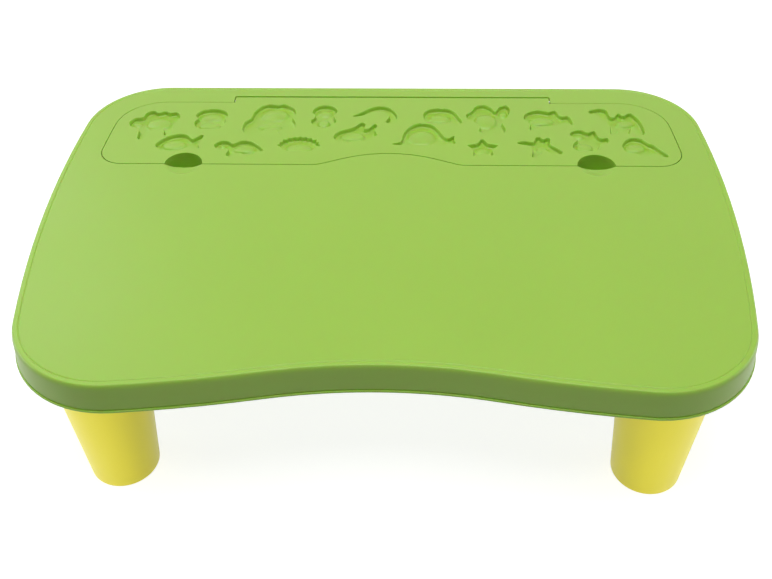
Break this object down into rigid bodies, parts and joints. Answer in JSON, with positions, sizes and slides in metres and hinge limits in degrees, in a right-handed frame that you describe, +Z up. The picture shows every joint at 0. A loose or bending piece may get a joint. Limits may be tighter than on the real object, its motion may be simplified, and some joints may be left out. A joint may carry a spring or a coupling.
{
  "type": "kids table with storage",
  "caption": "Low moulded play table for a seated child, with a belly cut-out, short legs, and a hinged lid pressed with clay-mould shapes over a storage bin.",
  "frame": {"origin": "on the floor, under the middle of the table's outline", "axes": "+Z up, +X to the seated child's right, -Y towards the child, so the storage lid is at +Y"},
  "size_m": [0.625, 0.432, 0.15],
  "materials": {
    "deck_plastic": "injection-moulded polypropylene, satin",
    "lid_plastic": "injection-moulded polypropylene, satin",
    "bin_plastic": "injection-moulded polypropylene, fine matt",
    "leg_plastic": "injection-moulded polypropylene, satin",
    "pin_steel": "zinc-plated steel"
  },
  "bodies": {
    "table": {"table_top": "deck_plastic", "hinge_pin_left": "pin_steel", "hinge_pin_right": "pin_steel", "storage_bin": "bin_plastic", "bin_screws": "pin_steel", "front_left_leg": "leg_plastic", "front_right_leg": "leg_plastic", "rear_left_leg": "leg_plastic", "rear_right_leg": "leg_plastic"},
    "lid": {"storage_lid": "lid_plastic"}
  },
  "joints": [
    {"name": "lid_hinge", "type": "hinge", "parent": "table", "child": "lid", "pos_m": [0, 0.1904, 0.1464], "axis": [-1, 0, 0], "range_deg": [0, 100]}
  ]
}
